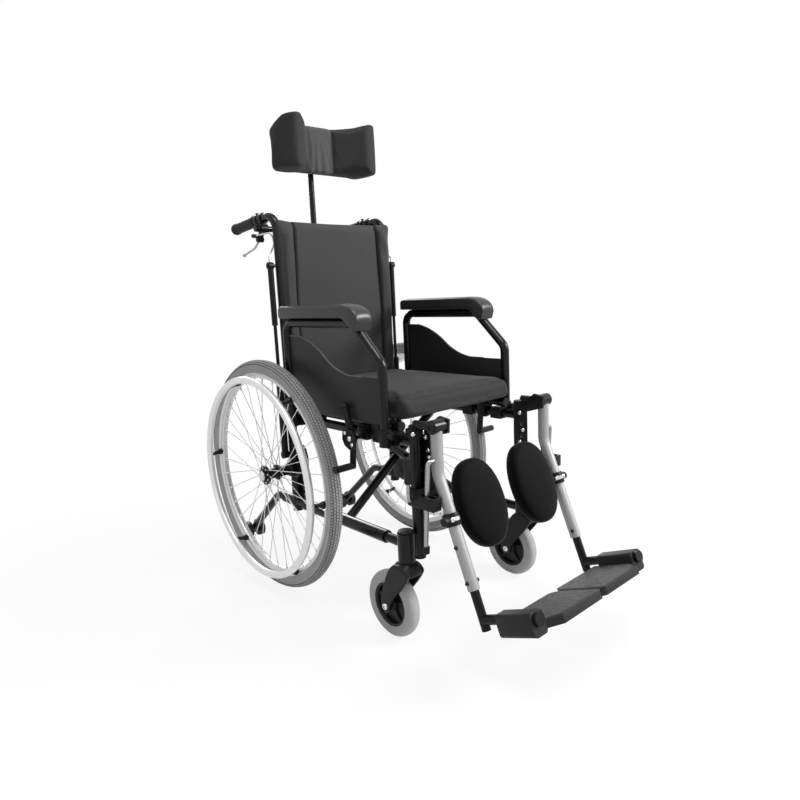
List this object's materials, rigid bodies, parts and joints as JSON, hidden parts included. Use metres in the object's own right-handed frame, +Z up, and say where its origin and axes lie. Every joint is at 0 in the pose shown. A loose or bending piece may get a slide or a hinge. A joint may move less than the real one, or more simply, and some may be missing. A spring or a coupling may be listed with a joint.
{
  "type": "reclining wheelchair",
  "caption": "Folding manual wheelchair with reclining back, winged headrest, removable padded armrests and elevating legrests with calf pads.",
  "frame": {"origin": "on the floor, at the middle of the chair's width and length", "axes": "+Z up, the chair faces -Y, the sitter's left is +X"},
  "size_m": [0.614, 1.1169, 1.205],
  "materials": {
    "black_frame": "gloss black powder coat",
    "black_plastic": "matt moulded black",
    "silver_metal": "satin silver",
    "chrome_metal": "bright plated",
    "grey_tyre": "matt grey rubber",
    "grip_rubber": "matt ribbed rubber",
    "pad_foam": "soft matt black cover",
    "seat_fabric": "dark charcoal woven nylon"
  },
  "bodies": {
    "right_frame": {"right_side_frame": "black_frame", "right_frame_fittings": "black_plastic", "right_anti_tip_bar": "black_frame"},
    "right_wheel": {"right_tyre": "grey_tyre", "right_spoked_wheel": "silver_metal"},
    "right_caster_fork": {"right_caster_fork": "black_plastic"},
    "right_caster_wheel": {"right_caster_wheel": "grey_tyre"},
    "right_anti_tip_rollers": {"right_anti_tip_rollers": "black_plastic"},
    "right_back": {"right_back_cane": "black_frame", "right_push_grip": "grip_rubber", "right_handle_fittings": "black_plastic", "back_upholstery": "seat_fabric"},
    "right_release_lever": {"right_release_lever": "chrome_metal"},
    "right_lock_cylinder": {"right_lock_cylinder": "black_frame"},
    "right_lock_rod": {"right_lock_rod": "black_frame"},
    "right_armrest": {"right_arm_tube": "black_frame", "right_arm_pad": "pad_foam", "right_side_panel": "black_plastic"},
    "right_brake": {"right_brake_lever": "black_plastic"},
    "right_hanger": {"right_leg_hanger": "black_frame"},
    "right_leg": {"right_leg_tube": "silver_metal"},
    "right_extension": {"right_leg_extension": "black_frame"},
    "right_footplate": {"right_footplate": "black_plastic"},
    "right_calf": {"right_calf_bracket": "black_plastic", "right_calf_pad": "pad_foam"},
    "right_rod": {"right_elevating_rod": "chrome_metal"},
    "right_rod_lever": {"right_rod_lever": "chrome_metal"},
    "left_frame": {"left_side_frame": "black_frame", "left_frame_fittings": "black_plastic", "left_anti_tip_bar": "black_frame"},
    "left_wheel": {"left_tyre": "grey_tyre", "left_spoked_wheel": "silver_metal"},
    "left_caster_fork": {"left_caster_fork": "black_plastic"},
    "left_caster_wheel": {"left_caster_wheel": "grey_tyre"},
    "left_anti_tip_rollers": {"left_anti_tip_rollers": "black_plastic"},
    "left_back": {"left_back_cane": "black_frame", "left_push_grip": "grip_rubber", "left_handle_fittings": "black_plastic"},
    "left_release_lever": {"left_release_lever": "chrome_metal"},
    "left_lock_cylinder": {"left_lock_cylinder": "black_frame"},
    "left_lock_rod": {"left_lock_rod": "black_frame"},
    "left_armrest": {"left_arm_tube": "black_frame", "left_arm_pad": "pad_foam", "left_side_panel": "black_plastic"},
    "left_brake": {"left_brake_lever": "black_plastic"},
    "left_hanger": {"left_leg_hanger": "black_frame"},
    "left_leg": {"left_leg_tube": "silver_metal"},
    "left_extension": {"left_leg_extension": "black_frame"},
    "left_footplate": {"left_footplate": "black_plastic"},
    "left_calf": {"left_calf_bracket": "black_plastic", "left_calf_pad": "pad_foam"},
    "left_rod": {"left_elevating_rod": "chrome_metal"},
    "left_rod_lever": {"left_rod_lever": "chrome_metal"},
    "brace_a": {"cross_brace_a": "black_frame"},
    "brace_b": {"cross_brace_b": "black_frame"},
    "seat": {"seat_cushion": "seat_fabric"},
    "headrest_bar": {"headrest_bar": "black_frame"},
    "headrest_post": {"headrest_post": "black_frame"},
    "headrest": {"headrest_bracket": "black_plastic", "headrest_pad": "pad_foam"}
  },
  "joints": [
    {"name": "frame_fold", "type": "hinge", "parent": "right_frame", "child": "brace_a", "pos_m": [-0.176, 0.03646, 0.205], "axis": [0, -1, 0], "range_deg": [0, 34], "deforming": ["seat_cushion", "back_upholstery"]},
    {"name": "brace_scissor", "type": "hinge", "parent": "brace_a", "child": "brace_b", "pos_m": [0, 0.03646, 0.3375], "axis": [0, -1, 0], "range_deg": [-68, 0]},
    {"name": "left_frame_fold", "type": "hinge", "parent": "brace_b", "child": "left_frame", "pos_m": [0.176, 0.03646, 0.205], "axis": [0, -1, 0], "range_deg": [0, 34]},
    {"name": "seat_level", "type": "hinge", "parent": "brace_a", "child": "seat", "pos_m": [0.176, 0.03646, 0.47001], "axis": [0, -1, 0], "range_deg": [-34, 0]},
    {"name": "back_recline", "type": "hinge", "parent": "right_frame", "child": "right_back", "pos_m": [-0.176, 0.25846, 0.472], "axis": [-1, 0, 0], "range_deg": [0, 45]},
    {"name": "headrest_bar_slide", "type": "slide", "parent": "right_back", "child": "headrest_bar", "axis": [-1, 0, 0], "range_m": [0, 0.1052]},
    {"name": "headrest_height", "type": "slide", "parent": "headrest_bar", "child": "headrest_post", "axis": [0, 0, 1], "range_m": [-0.03, 0.08]},
    {"name": "headrest_tilt", "type": "hinge", "parent": "headrest_post", "child": "headrest", "pos_m": [0, 0.34846, 1.12], "axis": [-1, 0, 0], "range_deg": [-10, 10]},
    {"name": "right_lock_cylinder_swing", "type": "hinge", "parent": "right_frame", "child": "right_lock_cylinder", "pos_m": [-0.203, 0.25846, 0.342], "axis": [-1, 0, 0], "range_deg": [0, 34]},
    {"name": "right_lock_rod_swing", "type": "hinge", "parent": "right_back", "child": "right_lock_rod", "pos_m": [-0.203, 0.25846, 0.833], "axis": [-1, 0, 0], "range_deg": [-12, 0]},
    {"name": "right_release_lever_pull", "type": "hinge", "parent": "right_back", "child": "right_release_lever", "pos_m": [-0.176, 0.34546, 0.906], "axis": [1, 0, 0], "range_deg": [0, 18], "stiffness_Nm_per_rad": 1.5},
    {"name": "right_wheel_spin", "type": "hinge", "parent": "right_frame", "child": "right_wheel", "pos_m": [-0.252, 0.25846, 0.3], "axis": [1, 0, 0], "continuous": true},
    {"name": "right_caster_swivel", "type": "hinge", "parent": "right_frame", "child": "right_caster_fork", "pos_m": [-0.209, -0.21654, 0.18], "axis": [0, 0, 1], "continuous": true},
    {"name": "right_caster_spin", "type": "hinge", "parent": "right_caster_fork", "child": "right_caster_wheel", "pos_m": [-0.209, -0.16554, 0.075], "axis": [1, 0, 0], "continuous": true},
    {"name": "right_roller_spin", "type": "hinge", "parent": "right_frame", "child": "right_anti_tip_rollers", "pos_m": [-0.176, 0.52646, 0.058], "axis": [1, 0, 0], "continuous": true},
    {"name": "right_armrest_lift", "type": "slide", "parent": "right_frame", "child": "right_armrest", "axis": [0, 0, 1], "range_m": [0, 0.12]},
    {"name": "right_brake_push", "type": "hinge", "parent": "right_frame", "child": "right_brake", "pos_m": [-0.217, -0.06354, 0.436], "axis": [1, 0, 0], "range_deg": [0, 11]},
    {"name": "right_legrest_swing", "type": "hinge", "parent": "right_frame", "child": "right_hanger", "pos_m": [-0.176, -0.22154, 0.4], "axis": [0, 0, -1], "range_deg": [0, 85]},
    {"name": "right_legrest_elevate", "type": "hinge", "parent": "right_hanger", "child": "right_leg", "pos_m": [-0.18, -0.28954, 0.485], "axis": [-1, 0, 0], "range_deg": [0, 60]},
    {"name": "right_rod_swing", "type": "hinge", "parent": "right_leg", "child": "right_rod", "pos_m": [-0.207, -0.28954, 0.417], "axis": [-1, 0, 0], "range_deg": [-84.9, 0]},
    {"name": "right_rod_lever_press", "type": "hinge", "parent": "right_hanger", "child": "right_rod_lever", "pos_m": [-0.228, -0.25154, 0.333], "axis": [1, 0, 0], "range_deg": [0, 20], "stiffness_Nm_per_rad": 1},
    {"name": "right_extension_slide", "type": "slide", "parent": "right_leg", "child": "right_extension", "axis": [0, -0.373, -0.9278], "range_m": [-0.03, 0.06]},
    {"name": "right_footplate_flip", "type": "hinge", "parent": "right_extension", "child": "right_footplate", "pos_m": [-0.18, -0.48419, 0.14507], "axis": [0, -0.9278, 0.373], "range_deg": [0, 90]},
    {"name": "right_calf_swing", "type": "hinge", "parent": "right_leg", "child": "right_calf", "pos_m": [-0.18, -0.32497, 0.29986], "axis": [0, 0.373, 0.9278], "range_deg": [0, 17]},
    {"name": "left_back_recline", "type": "hinge", "parent": "left_frame", "child": "left_back", "pos_m": [0.176, 0.25846, 0.472], "axis": [-1, 0, 0], "range_deg": [0, 45]},
    {"name": "left_lock_cylinder_swing", "type": "hinge", "parent": "left_frame", "child": "left_lock_cylinder", "pos_m": [0.203, 0.25846, 0.342], "axis": [-1, 0, 0], "range_deg": [0, 34]},
    {"name": "left_lock_rod_swing", "type": "hinge", "parent": "left_back", "child": "left_lock_rod", "pos_m": [0.203, 0.25846, 0.833], "axis": [-1, 0, 0], "range_deg": [-12, 0]},
    {"name": "left_release_lever_pull", "type": "hinge", "parent": "left_back", "child": "left_release_lever", "pos_m": [0.176, 0.34546, 0.906], "axis": [1, 0, 0], "range_deg": [0, 18], "stiffness_Nm_per_rad": 1.5},
    {"name": "left_wheel_spin", "type": "hinge", "parent": "left_frame", "child": "left_wheel", "pos_m": [0.252, 0.25846, 0.3], "axis": [1, 0, 0], "continuous": true},
    {"name": "left_caster_swivel", "type": "hinge", "parent": "left_frame", "child": "left_caster_fork", "pos_m": [0.209, -0.21654, 0.18], "axis": [0, 0, 1], "continuous": true},
    {"name": "left_caster_spin", "type": "hinge", "parent": "left_caster_fork", "child": "left_caster_wheel", "pos_m": [0.209, -0.16554, 0.075], "axis": [1, 0, 0], "continuous": true},
    {"name": "left_roller_spin", "type": "hinge", "parent": "left_frame", "child": "left_anti_tip_rollers", "pos_m": [0.176, 0.52646, 0.058], "axis": [1, 0, 0], "continuous": true},
    {"name": "left_armrest_lift", "type": "slide", "parent": "left_frame", "child": "left_armrest", "axis": [0, 0, 1], "range_m": [0, 0.12]},
    {"name": "left_brake_push", "type": "hinge", "parent": "left_frame", "child": "left_brake", "pos_m": [0.217, -0.06354, 0.436], "axis": [1, 0, 0], "range_deg": [0, 11]},
    {"name": "left_legrest_swing", "type": "hinge", "parent": "left_frame", "child": "left_hanger", "pos_m": [0.176, -0.22154, 0.4], "axis": [0, 0, 1], "range_deg": [0, 85]},
    {"name": "left_legrest_elevate", "type": "hinge", "parent": "left_hanger", "child": "left_leg", "pos_m": [0.18, -0.28954, 0.485], "axis": [-1, 0, 0], "range_deg": [0, 60]},
    {"name": "left_rod_swing", "type": "hinge", "parent": "left_leg", "child": "left_rod", "pos_m": [0.207, -0.28954, 0.417], "axis": [-1, 0, 0], "range_deg": [-84.9, 0]},
    {"name": "left_rod_lever_press", "type": "hinge", "parent": "left_hanger", "child": "left_rod_lever", "pos_m": [0.228, -0.25154, 0.333], "axis": [1, 0, 0], "range_deg": [0, 20], "stiffness_Nm_per_rad": 1},
    {"name": "left_extension_slide", "type": "slide", "parent": "left_leg", "child": "left_extension", "axis": [0, -0.373, -0.9278], "range_m": [-0.03, 0.06]},
    {"name": "left_footplate_flip", "type": "hinge", "parent": "left_extension", "child": "left_footplate", "pos_m": [0.18, -0.48419, 0.14507], "axis": [0, 0.9278, -0.373], "range_deg": [0, 90]},
    {"name": "left_calf_swing", "type": "hinge", "parent": "left_leg", "child": "left_calf", "pos_m": [0.18, -0.32497, 0.29986], "axis": [0, -0.373, -0.9278], "range_deg": [0, 17]}
  ],
  "couplings": [
    {"joint": "brace_scissor", "follows": "frame_fold", "ratio": -2},
    {"joint": "left_frame_fold", "follows": "frame_fold", "ratio": 1},
    {"joint": "seat_level", "follows": "frame_fold", "ratio": -1},
    {"joint": "headrest_bar_slide", "follows": "frame_fold", "m_per_rad": 0.17557},
    {"joint": "right_lock_cylinder_swing", "follows": "back_recline", "ratio": 0.74505},
    {"joint": "right_lock_rod_swing", "follows": "back_recline", "ratio": -0.25495},
    {"joint": "right_legrest_swing", "follows": "frame_fold", "ratio": 2.5},
    {"joint": "right_rod_swing", "follows": "right_legrest_elevate", "ratio": -1.4069},
    {"joint": "left_back_recline", "follows": "back_recline", "ratio": 1},
    {"joint": "left_lock_cylinder_swing", "follows": "back_recline", "ratio": 0.74505},
    {"joint": "left_lock_rod_swing", "follows": "back_recline", "ratio": -0.25495},
    {"joint": "left_legrest_swing", "follows": "frame_fold", "ratio": 2.5},
    {"joint": "left_rod_swing", "follows": "left_legrest_elevate", "ratio": -1.4069}
  ]
}
